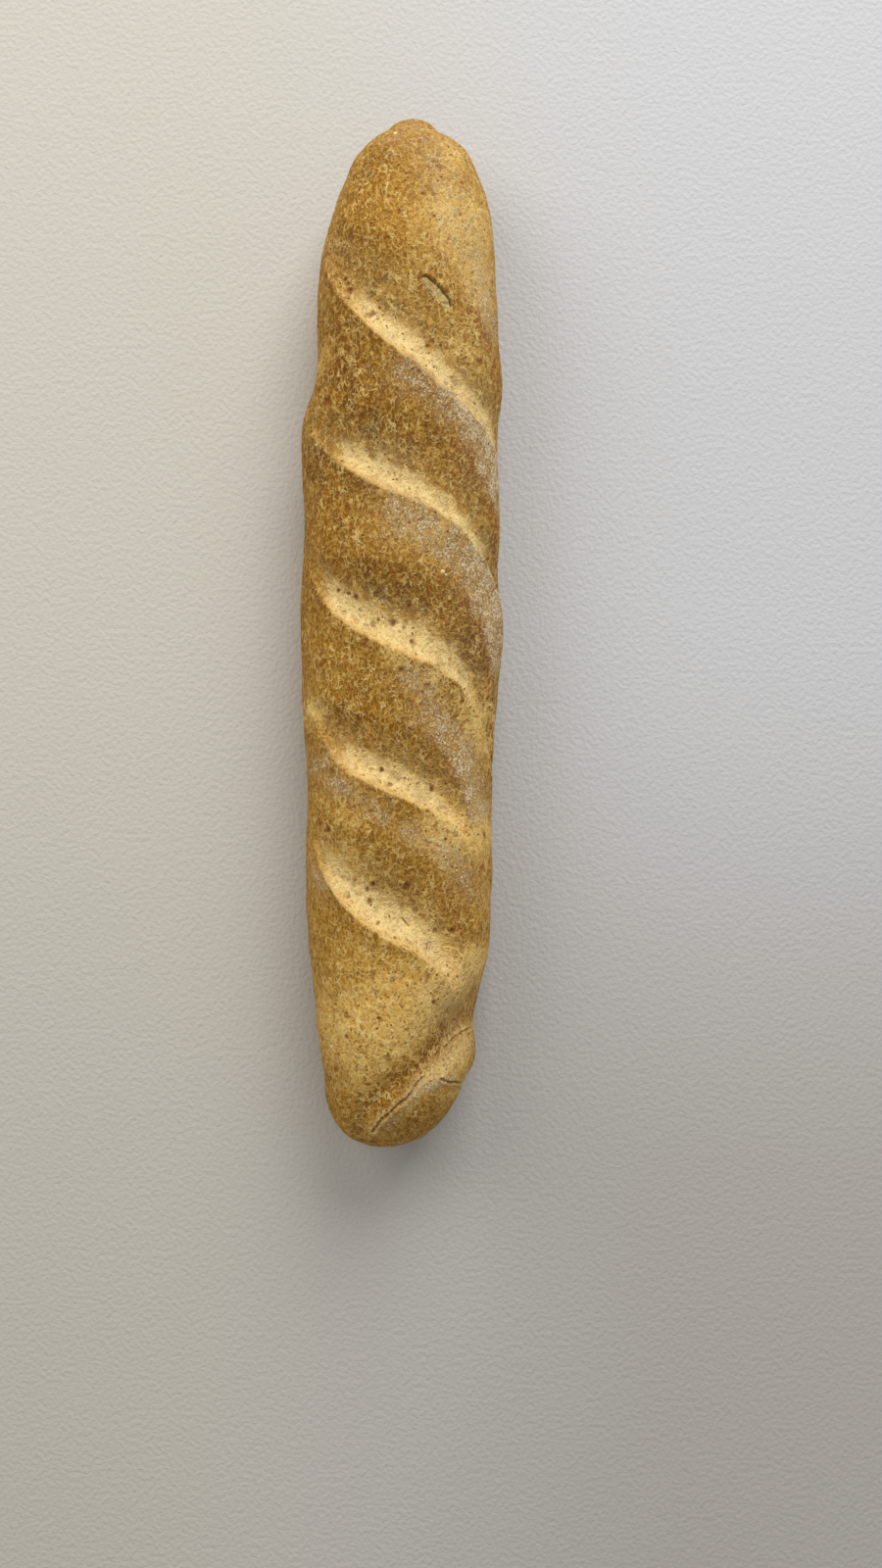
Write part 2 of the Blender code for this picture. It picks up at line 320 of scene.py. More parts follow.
marks = {
    "pits": (     # x, y, radius
        (85.0, 27.8, 1.0), (90.0, 31.0, 0.6), (73.5, -10.0, 0.6), (76.7, -10.6, 0.6), (-16.4, -0.5, 0.8),
        (14.0, 25.0, 0.7), (12.5, 21.0, 0.8), (11.2, 17.8, 0.9), (1.3, 2.8, 1.1), (-5.6, -4.5, 0.8),
        (115.2, 11.9, 1.2), (129.7, 21.9, 0.6), (127.9, 21.1, 0.6), (125.2, 20.4, 0.9), (117.5, 8.6, 0.6),
        (103.8, -11.0, 0.8), (99.9, -30.8, 0.8), (-52.9, 7.5, 0.9), (-60.5, -13.5, 0.9),
        (-95.8, -3.0, 1.6), (-95.0, 11.2, 1.0), (-96.9, 13.8, 0.6), (-101.6, 12.7, 0.8),
        (-112.6, -20.4, 0.9), (-109.3, 8.6, 0.7), (-34.3, 16.0, 0.7), (-75.2, 26.7, 0.7),
        (-138.5, -12.8, 0.9), (-129.3, -19.3, 0.6), (-144.0, 7.9, 0.8), (-151.5, 19.6, 0.8),
        (159.2, -8.4, 0.8), (159.0, -12.4, 0.8), (151.5, 0.2, 0.7), (163.0, -4.8, 0.5), (6.5, 16.5, 0.5),
        (2.5, 9.0, 0.5), (-0.5, -1.5, 0.5), (132.5, 27.5, 0.5)),
    "slits": (     # where each starts and ends
        ((86.6, -18.6), (85.2, -21.4)), ((28.6, -32.0), (24.6, -34.6)), ((22.0, -35.6), (20.0, -36.4)),
        ((-107.9, -0.8), (-110.8, -3.7))),
    "stains": (     # x, y, radius of the grey-green patches in the opened dough
        (12.8, 7.4, 3.0), (72.8, 11.1, 3.4), (6.7, -10.6, 2.4), (45.3, -18.9, 3.0), (127.0, 5.5, 2.6),
        (118.5, 2.0, 2.6), (166.6, -7.0, 1.8), (-62.0, -8.0, 3.0), (-56.0, 1.0, 2.6), (-118.0, -12.0, 3.2),
        (-15.0, -14.0, 2.8)),
    "blisters": (     # x, y, radius, rise
        (129.2, 7.6, 2.6, 0.4), (120.7, 4.7, 2.7, 0.4), (18.6, 2.8, 2.8, 0.4), (136.0, -15.4, 3.6, 0.7),
        (60.5, -4.0, 2.4, 0.3), (-37.0, -2.5, 2.6, 0.3), (176.0, -9.0, 3.0, 0.4), (155.0, 5.0, 3.4, 0.4)),
    "tear": {"from": (128.0, -8.6), "to": (117.6, -19.2), "halfWidth": 1.9},
    "cracks": (     # path, half width, depth and darkness
        (((-167.4, -10.0), (-169.4, -7.4), (-173.0, -4.6), (-175.2, -2.4), (-177.2, 0.4), (-180.0, 3.6),
          (-183.0, 6.8), (-188.5, 10.6)), 0.55, 1.1, 0.95),
        (((-168.0, -15.7), (-169.5, -18.2), (-169.9, -20.4), (-171.6, -22.6)), 0.45, 0.9, 0.80),
        (((-152.4, -27.5), (-153.6, -24.5), (-157.0, -20.0)), 0.40, 0.7, 0.50)),
    "ridge": ((145.0, -7.0), (134.0, -17.0), (122.0, -26.0), (107.0, -34.0)),
}
flourBands = (     # line, reach, thickness
    (((92, -2), (88, -9), (81, -22)), 6.0, 0.55), (((84, -22), (76, -28), (68, -32), (55, -36)), 8.0, 1.0),
    (((41, -2), (33, -15), (26, -25)), 9.0, 0.58), (((26, -26), (16, -31), (3, -35), (-10, -37)), 8.0, 0.95),
    (((-34, -11), (-44, -21), (-52, -24)), 5.5, 0.70), (((-50, -23), (-58, -26), (-68, -28)), 4.5, 0.80),
    (((-80, -14), (-88, -20), (-97, -26)), 5.0, 0.40),
    (((190, -6), (176, -12), (159, -18), (145, -24), (128, -32)), 9.0, 0.30),
    (((140, -28), (128, -31), (114, -34)), 4.0, 0.55), (((62, 1), (52, 4)), 6.0, 0.35),
    (((184, 4), (178, -12), (168, -20)), 4.0, 0.25), (((-18, -4), (-24, -10)), 5.0, 0.42),
    (((-52, 33), (-50, 28)), 4.0, 0.42), (((-57, 25), (-60, 18)), 3.5, 0.52),
    (((-65, 13), (-69, 7)), 3.5, 0.45), (((-75, -2), (-80, -9)), 3.5, 0.48),
    (((-91, 32), (-96, 30)), 3.0, 0.50), (((-128, -20), (-144, -22)), 8.0, 0.22),
    (((-168, -17), (-171, -11)), 2.2, 0.60), (((-170, -9), (-176, -4), (-186, 6)), 1.8, 0.35),
)
# Paler and darker crust, and in places painted light and painted shade, as on the lit right flank, the shaded
# left flank and round the fold at the blunt end
paleAreasAndPaintedLight = (     # x, y, reach, and how much lighter the crust is there, or darker below 0
    (178, 8, 8, -0.50), (178, -20, 7, 0.80), (168, 14, 8, -0.45), (150, -22, 15, 1.10),
    (133, -3, 7, 0.30), (128, -30, 10, 0.75), (104, -27, 9, 0.70), (118, -24, 9, 0.20), (115, 0, 9, 0.30),
    (146, 25, 12, -0.60), (108, 30, 14, -0.35), (103, 32, 6, 1.20), (93, 20, 9, -0.45),
    (76, -34, 8, 0.60), (62, 26, 18, -0.20), (34, -6, 13, 0.50), (34, -19, 8, 0.50), (12, 4, 9, -0.15),
    (-4, 24, 12, 0.20), (-10, -27, 8, -1.00), (-11, 1, 6, 1.10), (-20, -10, 7, 1.10),
    (-30, -28, 10, 1.10), (-41, -34, 9, 1.00), (-29, 34, 7, 1.10), (-64, 19, 13, 0.50),
    (-84, 24, 12, 0.40), (-75, -16, 9, 1.20), (-77, -30, 10, 1.20), (-107, -10, 8, 0.60),
    (-102, -23, 8, -0.50), (-106, -31, 9, 0.50), (-114, -29, 6, -0.40), (-129, -27, 10, 2.20),
    (-132, -14, 8, 0.50), (-138, 2, 22, 0.75), (-150, 24, 14, 0.75), (150, 32, 7, 0.70),
    (-143, -18, 8, 0.60), (-150, -7, 8, 0.60), (-158, 3, 8, 0.55), (-167, 15, 8, 0.65),
    (-156, -18, 6, -0.80), (-168, -4, 6, -0.45), (-172, -22, 9, 0.60), (-178, 6, 6, -0.50),
    (-186, 10, 12, 0.25),
)


# shade is painted shade on a slash's far slope, fold painted shade in the fold's crease, and facet painted
# highlight on the facet that faces the light
slashTints = {     # where each tint is strongest and how far it reaches
    "warm": (-0.3 * mm, 2.0 * mm), "crest": (-2.4 * mm, 1.6 * mm),     # beyond the lip
    "shade": (0.78, 0.22), "rim": (0.95, 0.15),                        # as shares of the slash's width
    "fold": (-0.5 * mm, 6 * mm), "facet": (-9 * mm, 5 * mm),           # beyond the fold's deepest line
}


def ringPlace(share):
    return share**2 * (1 + crust["endCrowding"]) / (share + crust["endCrowding"])


def layOut(direction):     # where along and round the loaf a point of the round grid goes
    fromTip = math.acos(max(-1.0, min(1.0, direction.z))) / quarterTurn
    side = 1.0 if fromTip <= 1.0 else -1.0
    x = side * loaf["length"] / 2 * (1.0 - ringPlace(min(fromTip, 2.0 - fromTip)))
    turn = math.atan2(direction.y, direction.x)
    turn -= crust["crestCrowding"] * math.sin(turn)
    lean = crust["ringLean"] * (1.0 - (2 * x / loaf["length"]) ** 4)
    return x - lean * math.sin(turn), turn


def cutRelief(x, turn, wander, masks):     # the slashes and the fold
    relief = np.zeros(len(x))
    easeStart, easeEnd = (math.radians(t) for t in loaf["rightEaseTurns"])
    eased = 1.0 - loaf["rightEase"] * np.clip((turn - easeStart) / (easeEnd - easeStart), 0.0, 1.0)
    floorPower = math.log(0.5) / math.log(loaf["floorAt"])
    for slash in loaf["slashes"]:
        opened = opening(turn, slash["turns"])
        beyondLip = x - lineAcross(slash, turn) + crust["lipWander"] * wander * opened
        share = np.where(opened > 0, beyondLip / (slash["width"] * np.maximum(opened, 1e-6)), -9.0)
        behind = (opened > 0) & (share <= 0)
        within = (share > 0) & (share < 1)
        inCut = np.clip(share, 0.0, 1.0)
        valley = np.sin(math.pi * inCut**floorPower) ** loaf["valleyPower"]
        lip = loaf["lipRise"] * np.maximum(1.0 - inCut / loaf["floorAt"], 0.0) ** 2
        skin = crust["skinStep"] * step(inCut, 0.0, 0.04) * (1 - step(inCut, 0.5, 0.95))
        relief += np.where(behind, loaf["lipRise"] * opened**2 * bump(beyondLip, 0, loaf["lipReach"]), 0)
        relief += np.where(within, opened**2 * (lip - slash["depth"] * eased * valley) - opened * skin, 0)

        near = (opened > 0) & (share < 1.3) & (beyondLip > -14 * mm)
        strength = np.where(near, step(opened, 0.05, 0.45), 0)
        wall = slash["wall"] * (0.45 + 0.55 * opened)
        rise = step(beyondLip, -2.0 * mm, 0.6 * mm)
        degrees = np.degrees(turn)
        brightness = step(degrees, *slash["paleFrom"]) * (1 - 0.9 * step(degrees, *slash["paleTo"]))
        besideWall = (step(beyondLip, 0.6 * wall, 1.1 * wall)
                      * (1 - step(beyondLip, wall + 3 * mm, wall + 11 * mm)))
        floorEnd = 1 - step(share, 0.55, 0.95)
        # pale: the wall's own paler dough, and in part painted highlight where the wall faces the light
        shown = {"pale": brightness * rise * (1 - step(beyondLip, 0.35 * wall, 1.5 * wall)),
                 "warm": bump(beyondLip, *slashTints["warm"]),
                 "crest": bump(beyondLip, *slashTints["crest"]),
                 "grey": besideWall * (0.2 + 0.8 * step(turn, -0.8, -0.2)),
                 "dough": slash["doughShare"] * rise * floorEnd,
                 # painted shade on the far slope of the slash, which turns away from the light
                 "shade": bump(share, *slashTints["shade"]) * step(share, 0.2, 0.5),
                 "rim": bump(share, *slashTints["rim"]) * step(turn, 0.35, 0.8) * step(opened, 0.35, 0.75),
                 "opened": step(share, 0.0, 0.1) * (1 - step(share, 0.8, 1.0))}
        for name, values in shown.items():
            masks[name] = np.maximum(masks[name], strength * values)
    fold = loaf["fold"]
    offset = x - lineAcross(fold, turn)
    reach = np.where(offset > 0, loaf["foldSlopes"][0], loaf["foldSlopes"][1])
    shape = opening(turn, fold["turns"]) ** 2
    # painted shade in the crease of the fold, and painted highlight on the facet beyond it that faces the
    # light
    masks["fold"] = shape * bump(offset, *slashTints["fold"])
    masks["facet"] = shape * bump(offset, *slashTints["facet"]) * step(turn, 0.0, 0.4)
    return relief - fold["depth"] * shape * np.exp(-((offset / reach) ** 2))


def markRelief(body, wander, masks):     # pits, stains, slits, blisters, cracks, the tear and the ridge
    relief = np.zeros(len(body))
    rough = noiseOver(body, 1.1 * mm, 6.0)
    for x, y, radius in marks["pits"]:
        away = spotDistance(body, x, y) / radius * (1 + 0.35 * wander + 0.5 * rough)
        relief += 0.15 * mm * bump(away, 1.6, 0.45)
        relief -= crust["pitDepth"] * min(radius, 1.2) * np.exp(-away**2)
        masks["dark"] = np.maximum(masks["dark"], 1 - step(away, 0.55, 1.6))
    for x, y, radius in marks["stains"]:
        away = spotDistance(body, x, y) / radius * (1 + 0.5 * wander + 0.3 * rough)
        masks["grey"] = np.maximum(masks["grey"], 0.85 * (1 - step(away, 0.3, 1.2)))
        masks["crack"] = np.maximum(masks["crack"], 0.34 * (1 - step(away, 0.2, 1.1)))
    for path in marks["slits"]:
        away = pathDistance(body, path) / 0.40 + 0.8 * np.abs(rough)
        relief -= 0.8 * mm * np.exp(-away**2)
        masks["dark"] = np.maximum(masks["dark"], 0.8 * (1 - step(away, 0.2, 1.4)))
    for x, y, radius, rise in marks["blisters"]:
        away = spotDistance(body, x, y) / radius * (1 + 0.15 * wander)
        relief += rise * mm * (1 - step(away, 0.3, 1.05))
        upper = step((body[:, 0] / mm - x) / radius, 0.1, 0.8)
        masks["dark"] = np.maximum(masks["dark"], 0.55 * bump(away, 1.05, 0.13) * upper)
    for path, width, depth, darkness in marks["cracks"]:
        away = pathDistance(body, path) / width + 0.9 * np.abs(wander) + 1.1 * np.abs(rough)
        relief += mm * (0.40 * bump(away, 2.6, 1.2) - depth * np.exp(-away**2))
        openness = 0.55 + 0.45 * step(noiseOver(body, 5 * mm, 9.3), -0.3, 0.2)
        masks["crack"] = np.maximum(masks["crack"], openness * darkness * (1 - step(away, 0.2, 1.5)))
        masks["facet"] = np.maximum(masks["facet"], 0.75 * bump(away, 2.6, 1.1))
    tear = marks["tear"]
    share, aside = acrossLine(body, tear["from"], tear["to"])
    halfWidth = tear["halfWidth"] * np.sqrt(np.clip(1 - (2 * share - 1) ** 2, 0, 1)) * (1 + 0.35 * wander)
    onTear = halfWidth > 0.05
    inside = onTear * (1 - step(np.abs(aside), 0.8 * halfWidth, halfWidth + 0.15))
    upperEdge = onTear * bump(aside, halfWidth + 0.1, 0.40) * (1 - 0.8 * step(rough, 0.05, 0.45))
    lowerEdge = onTear * bump(aside, -halfWidth - 0.1, 0.34) * step(rough, -0.25, 0.25)
    relief += mm * (0.35 * onTear * bump(aside, halfWidth + 1.0, 0.7) - 0.35 * inside - 0.8 * upperEdge
                    - 0.4 * lowerEdge)
    masks["crack"] = np.maximum(masks["crack"], np.maximum(0.95 * upperEdge, 0.9 * lowerEdge))
    masks["facet"] = np.maximum(masks["facet"], 1.3 * inside)
    masks["grey"] = np.maximum(masks["grey"], 0.6 * inside)
    away = pathDistance(body, marks["ridge"])
    relief += 0.5 * mm * bump(away, 0, 2.5)
    masks["rim"] = np.maximum(masks["rim"], 0.45 * bump(away, 1.0, 1.8))
    return relief


maskNames = ("pale", "warm", "crest", "grey", "dough", "shade", "rim", "opened", "dark", "crack", "flour",
             "light", "fold", "facet", "side", "under")


def shapeCrust(x, turn):     # the finished surface, and the masks that its finish reads
    body = bodyPoint(x, turn)
    count = len(x)
    masks = {name: np.zeros(count) for name in maskNames}
    wander = noiseOver(body, 7 * mm, 3.1) + 0.6 * noiseOver(body, 2.8 * mm, 8.4)
    relief = cutRelief(x, turn, wander, masks)
    knob, shoulders = loaf["knob"], loaf["shoulders"]
    offset = body - (loaf["length"] / 2, -knob["right"], loaf["widestLevel"] * loaf["height"])
    fromKnob = np.linalg.norm(offset, axis=1)
    relief += knob["rise"] * bump(fromKnob, 0, knob["reach"])
    relief += (shoulders["rise"] * (offset[:, 1] / fromKnob) ** 2
               * bump(fromKnob, shoulders["distance"], shoulders["reach"]))
    rightward = np.clip(-offset[:, 1] / fromKnob, 0, 1)
    neck = fromKnob + 1.5 * mm * wander - 4 * mm * rightward
    neckReach = (3.2 + 2.6 * rightward) * mm
    relief -= crust["neckDepth"] * (1 + 0.9 * rightward) * bump(neck, crust["neckAt"], neckReach)
    lumps = noiseOver(body, loaf["lumpSize"]) + 0.5 * noiseOver(body, loaf["lumpSize"] / 2.3)
    relief += rounding(x, loaf["sideRounding"]) * loaf["lumpRise"] * lumps

    masks["side"] = step(np.abs(turn), 0.75, 1.35)
    wrinkles = ((1 - masks["side"]) * noiseOver(body, crust["wrinkleSize"], 5.0)
                + masks["side"] * noiseOver(body, crust["wrinkleSize"], 5.0, 2.4))
    relief += crust["wrinkleRise"] * wrinkles + crust["grainRise"] * noiseOver(body, crust["grainSize"], 1.7)

    torn = np.maximum(masks["pale"], 0.7 * masks["grey"])
    relief += crust["doughRise"] * torn * (noiseOver(body, crust["doughSize"], 12.0)
                                           + 0.6 * noiseOver(body, crust["doughSize"] / 2, 4.0))

    top = np.abs(turn) < quarterTurn
    markMasks = {name: np.zeros(count) for name in ("dark", "crack", "grey", "rim", "facet")}
    relief += np.where(top, markRelief(body, wander, markMasks), 0)
    for name, values in markMasks.items():
        masks[name] = np.maximum(masks[name], np.where(top, values, 0))
    downSide = 1 - step(np.abs(turn) + 0.30 * wander, 1.15, 1.75)
    for path, reach, thickness in flourBands:
        away = pathDistance(body, path) / reach
        masks["flour"] = np.maximum(masks["flour"], downSide * thickness * np.exp(-away**2))
    masks["flour"] *= 1 - 0.85 * masks["opened"]
    # painted light and painted shade, besides paler and darker crust, from the listed areas
    for paleX, paleY, reach, lightness in paleAreasAndPaintedLight:
        away = spotDistance(body, paleX, paleY) / reach
        masks["light"] += downSide * lightness * np.exp(-away**2)

    point = body + bodyNormal(x, turn) * relief[:, None]
    masks["under"] = 1 - step(point[:, 2], 0.0, 6 * mm)
    point[:, 2] = np.maximum(point[:, 2], 0.0)
    return point, masks


def nearMarks(points, turn, spread):     # which points lie near a pit, a slit, a blister's edge or a crack
    near = np.zeros(len(points), bool)
    for x, y, radius in marks["pits"]:
        near |= spotDistance(points, x, y) < radius * 1.3 + spread
    for x, y, radius, _ in marks["blisters"]:
        near |= np.abs(spotDistance(points, x, y) - radius) < 0.3 + spread
    tear = (marks["tear"]["from"], marks["tear"]["to"])
    for path in (*marks["slits"], *(crack[0] for crack in marks["cracks"]), tear):
        near |= pathDistance(points, path) < (2.2 if path is tear else 1.0) + spread
    return near & (np.abs(turn) < quarterTurn)


def makeCrust():
    grid = bmesh.new()
    bmesh.ops.create_uvsphere(grid, u_segments=crust["segments"], v_segments=crust["rings"], radius=1.0)
    alongLayer = grid.verts.layers.float.new("along")
    aroundLayer = grid.verts.layers.float.new("around")
    for vertex in grid.verts:
        vertex[alongLayer], vertex[aroundLayer] = layOut(vertex.co)

    def places():
        return (np.array([v[alongLayer] for v in grid.verts]), np.array([v[aroundLayer] for v in grid.verts]))

    for spread in (0.7, 0.1):     # finer faces round the pits and cracks, in two passes
        x, turn = places()
        near = nearMarks(bodyPoint(x, turn), turn, spread)
        grid.verts.index_update()
        grid.edges.index_update()
        edges = {e for f in grid.faces if all(near[v.index] for v in f.verts) for e in f.edges}
        edges = sorted(edges, key=lambda e: e.index)
        bmesh.ops.subdivide_edges(grid, edges=edges, cuts=1, use_grid_fill=True)     # its face order may vary

    points, masks = shapeCrust(*places())
    low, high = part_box("loaf")
    shift = np.array((low + high) / 2) - (points.min(axis=0) + points.max(axis=0)) / 2
    points[:, :2] += shift[:2]
    for vertex, place in zip(grid.verts, points):
        vertex.co = place
    bmesh.ops.recalc_face_normals(grid, faces=grid.faces)
    mesh = bpy.data.meshes.new("crust")
    grid.to_mesh(mesh)
    grid.free()
    for name, values in masks.items():
        layer = mesh.attributes.new(name, "FLOAT", "POINT")
        layer.data.foreach_set("value", values.astype(np.float32))
    mesh.shade_smooth()
    piece = bpy.data.objects.new("crust", mesh)
    bpy.context.scene.collection.objects.link(piece)
    triangles = sum(len(p.vertices) - 2 for p in mesh.polygons)
    print("crust:", len(mesh.vertices), "vertices,", triangles, "triangles")
    return piece


# The crust's finish

crustFinish = {
    "skin": srgb(163, 113, 30), "skinDeep": srgb(112, 65, 8), "skinPale": srgb(228, 180, 90),
    "strand": srgb(230, 186, 94), "strandTop": srgb(250, 218, 142), "speck": srgb(118, 68, 20),
    "cutPale": srgb(254, 230, 166), "cutWarm": srgb(242, 196, 116), "cutBrown": srgb(146, 104, 52),
    "cutGap": srgb(210, 160, 86), "cutGrey": srgb(160, 140, 88), "greyDeep": srgb(112, 92, 50),
    "rim": srgb(142, 76, 22), "dimple": srgb(138, 82, 24), "pit": srgb(136, 76, 30),
    "crack": srgb(104, 86, 54), "underside": srgb(190, 152, 92),
    "flour": srgb(252, 236, 200), "flourDeep": srgb(226, 194, 144), "haze": srgb(200, 164, 114),
    "patches": {     # size and contrast
        "broad": (0.018, 1.8), "small": (0.0050, 2.4), "fine": (0.0013, 2.8), "clouds": (0.0042, 3.4),
        "bundles": (0.0034, 3.0), "fibres": (0.0013, 3.2)},
    "spots": {     # spacing, radius as a share of the spacing, and the share of places that have one
        "specks": (0.0020, 0.24, 0.50), "largeSpecks": (0.0060, 0.10, 0.35), "dimples": (0.0050, 0.31, 0.60),
        "hollows": (0.0042, 0.26, 0.55)},
    "netSize": 0.0028, "netWidth": 0.050, "netStrength": 0.66, "dustPerMetre": 1150.0,
    "darkStretch": (-0.110, -0.020, 0.085, 0.150),     # where along the loaf the darker baking comes and goes
    "roughness": 0.74, "specular": 0.18, "bump": 0.0004,
}


def makeCrustMaterial():
    look = crustFinish
    material = bpy.data.materials.new("bakedCrust")
    material.use_nodes = True
    tree = material.node_tree
    shader = tree.nodes["Principled BSDF"]
    place = put(tree, "ShaderNodeTexCoord").outputs["Object"]
    long = put(tree, "ShaderNodeMapping", {"Vector": place, "Scale": (0.60, 1.0, 1.0)}).outputs[0]
    longest = put(tree, "ShaderNodeMapping", {"Vector": place, "Scale": (0.36, 1.0, 1.0)}).outputs[0]
    axis = put(tree, "ShaderNodeSeparateXYZ", {0: place}).outputs
    masks = {name: attribute(tree, name) for name in maskNames if name != "opened"}

    def patches(name):
        size, contrast = look["patches"][name]
        return useGroup(tree, mottleGroup, Vector=place, Size=size, Contrast=contrast)

    def spotsOf(name):
        spacing, radius, share = look["spots"][name]
        return useGroup(tree, spotGroup, Vector=place, Spacing=spacing, Radius=radius, Share=share)

    def times(first, second):
        return calc(tree, "MULTIPLY", first, second)

    def larger(first, second):
        return calc(tree, "MAXIMUM", first, second)

    def total(*terms):     # the sum of values, each times its weight
        result = 0.0
        for value, weight in terms:
            result = calc(tree, "MULTIPLY_ADD", value, weight, result)
        return result

    def blended(share, first, second, weight):
        return blendColour(tree, calc(tree, "MULTIPLY", share, weight, clamp=True), first, second)

    broad, small, fine = patches("broad"), patches("small"), patches("fine")

    def ragged(name, swing):     # a mask whose edge the patches make ragged
        uneven = calc(tree, "SUBTRACT", calc(tree, "ADD", times(fine, 0.5), times(small, 0.5)), 0.5)
        return ramp(tree, calc(tree, "ADD", masks[name], times(uneven, swing)), 0.22, 0.78)

    # More and less baked skin, paler towards both ends, with painted shade on the far slope of each slash and
    # painted light and painted shade from the listed areas
    comes, full, fades, gone = look["darkStretch"]
    midLoaf = times(ramp(tree, axis["X"], comes, full), ramp(tree, axis["X"], gone, fades))
    baked = total((broad, 0.40), (small, 0.40), (masks["shade"], 0.10), (masks["crest"], 0.18),
                  (masks["light"], -0.75), (midLoaf, 0.24), (1.0, -0.02))
    colour = blendColour(tree, ramp(tree, baked, 0.46, 1.0), look["skin"], look["skinDeep"])
    colour = blendColour(tree, ramp(tree, baked, 0.50, -0.45), colour, look["skinPale"])
    # painted light: where the listed areas are lightest the crust goes over to the warm pale tone
    colour = blended(ramp(tree, masks["light"], 0.7, 2.0), colour, look["cutWarm"], 0.90)
    colour = blended(masks["rim"], colour, look["rim"], 0.85)
    # painted shade in the fold's crease
    colour = blended(masks["fold"], colour, look["skinDeep"], 0.85)
    # painted highlight on the facet beside the fold that faces the light; the same mask gives the paler edges
    # of the cracks and the paler inside of the tear
    colour = blended(masks["facet"], colour, look["cutPale"], 0.50)

    # The opened dough: a pale wall with a warmer crest, partly the dough's own paler colour and partly
    # painted highlight where the wall faces the light, and a mottled olive-grey floor beside it
    doughShown = times(masks["dough"], ramp(tree, small, 0.9, 0.2, 0.35, 0.8))
    colour = blended(doughShown, colour, look["cutPale"], 0.62)
    greyTone = blendColour(tree, small, look["cutGrey"], look["greyDeep"])
    greyShown = times(ragged("grey", 0.9), ramp(tree, broad, 0.25, 0.8, 0.2, 0.9))
    colour = blended(greyShown, colour, greyTone, 0.50)
    streaks = total((fine, 0.45), (small, 0.55))
    pale = times(ragged("pale", 1.35), ramp(tree, streaks, 0.85, 0.25, 0.72, 1.0))
    warmth = ramp(tree, total((fine, 0.5), (small, 0.4), (masks["warm"], 0.45)), 0.35, 1.10)
    colour = blended(pale, colour, blendColour(tree, warmth, look["cutPale"], look["cutWarm"]), 0.96)
    torn = larger(times(masks["pale"], 0.50), larger(masks["grey"], masks["dough"]))
    clouds = patches("clouds")
    colour = blended(times(ramp(tree, clouds, 0.50, 1.0), torn), colour, look["cutBrown"], 0.50)
    colour = blended(times(ramp(tree, clouds, 0.40, 0.0), torn), colour, look["cutPale"], 0.15)

    # The net of fine strands, grainy meshes between them, and specks of bran
    lit = calc(tree, "MULTIPLY", masks["light"], 1.0, clamp=True)
    width = calc(tree, "MULTIPLY_ADD", lit, 0.9 * look["netWidth"], look["netWidth"])
    netRound = useGroup(tree, netGroup, Vector=long, Size=look["netSize"], Width=width, Waver=0.35)
    netLong = useGroup(tree, netGroup, Vector=longest, Size=look["netSize"], Width=width, Waver=0.3)
    bundles = patches("bundles")
    net = times(blendValue(tree, masks["side"], netRound, netLong), ramp(tree, bundles, 0.1, 0.9, 0.4, 1.0))
    fibres = patches("fibres")
    gaps = times(ramp(tree, fibres, 0.48, 0.92), calc(tree, "MULTIPLY_ADD", net, -0.7, 1.0))
    gapTone = blendColour(tree, pale, look["skinDeep"], look["cutGap"])
    gapStrength = blendValue(tree, ramp(tree, masks["light"], 0.1, 1.0), 0.50, 0.68)
    colour = blended(gaps, colour, gapTone, gapStrength)
    offPale = calc(tree, "MULTIPLY_ADD", pale, -0.45, 1.0)
    colour = blended(times(ramp(tree, fibres, 0.55, 0.0), offPale), colour, look["strand"], 0.45)
    brightness = larger(ramp(tree, bundles, 0.3, 0.9), larger(pale, masks["light"]))
    netTone = blendColour(tree, brightness, look["strand"], look["strandTop"])
    colour = blended(net, colour, netTone, calc(tree, "MULTIPLY_ADD", lit, 0.22, look["netStrength"]))
    dimples = times(spotsOf("dimples"), ramp(tree, broad, 0.2, 0.8, 0.3, 1.0))
    colour = blended(dimples, colour, look["dimple"], 0.80)
    speckShare = calc(tree, "MULTIPLY_ADD", pale, -0.25, 0.42)
    specks = larger(times(spotsOf("specks"), speckShare), spotsOf("largeSpecks"))
    colour = blended(specks, colour, look["speck"], 0.72)
    hollows = times(spotsOf("hollows"), larger(masks["grey"], masks["pale"]))
    colour = blended(hollows, colour, look["rim"], 0.42)
    colour = blended(masks["dark"], colour, look["pit"], 0.78)
    colour = blended(masks["crack"], colour, look["crack"], 0.90)
    colour = blended(masks["under"], colour, look["underside"], 0.50)

    # Flour: a faint haze under fine grains, which lie closer where more was dusted
    cloud = put(tree, "ShaderNodeTexNoise", {"Vector": place, "Scale": look["dustPerMetre"], "Detail": 2.0,
                                             "Roughness": 0.6})
    dusted = larger(masks["flour"], times(masks["under"], 0.5))
    dusted = calc(tree, "MULTIPLY", dusted, ramp(tree, small, 0.2, 0.8, 0.45, 1.25), clamp=True)
    level = calc(tree, "MULTIPLY_ADD", calc(tree, "POWER", dusted, 0.5), -0.36, 0.78)
    dust = ramp(tree, calc(tree, "SUBTRACT", cloud.outputs["Fac"], level), -0.03, 0.05)
    colour = blended(calc(tree, "POWER", dusted, 0.6), colour, look["haze"], 0.56)
    colour = blended(dust, colour, blendColour(tree, fine, look["flour"], look["flourDeep"]), 0.76)

    height = total((net, 0.7), (specks, -0.8), (dust, 0.9), (fibres, -0.7), (hollows, -1.0), (dimples, -1.0))
    bumped = put(tree, "ShaderNodeBump", {"Height": height, "Strength": 0.85, "Distance": look["bump"]})
    tree.links.new(colour, shader.inputs["Base Color"])
    tree.links.new(calc(tree, "MULTIPLY_ADD", small, 0.12, look["roughness"]), shader.inputs["Roughness"])
    tree.links.new(bumped.outputs[0], shader.inputs["Normal"])
    shader.inputs["Specular IOR Level"].default_value = look["specular"]
    return material


crustPiece = makeCrust()
crustPiece.data.materials.append(makeCrustMaterial())
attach(crustPiece, "root")
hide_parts("loaf")
print("crust finished")


# Grains of flour and flecks of bran, strewn over the crust

def geometryInput(tree, name, kind, default=None):
    socket = tree.interface.new_socket(name=name, in_out="INPUT", socket_type=kind)
    if default is not None:
        socket.default_value = default
    return socket


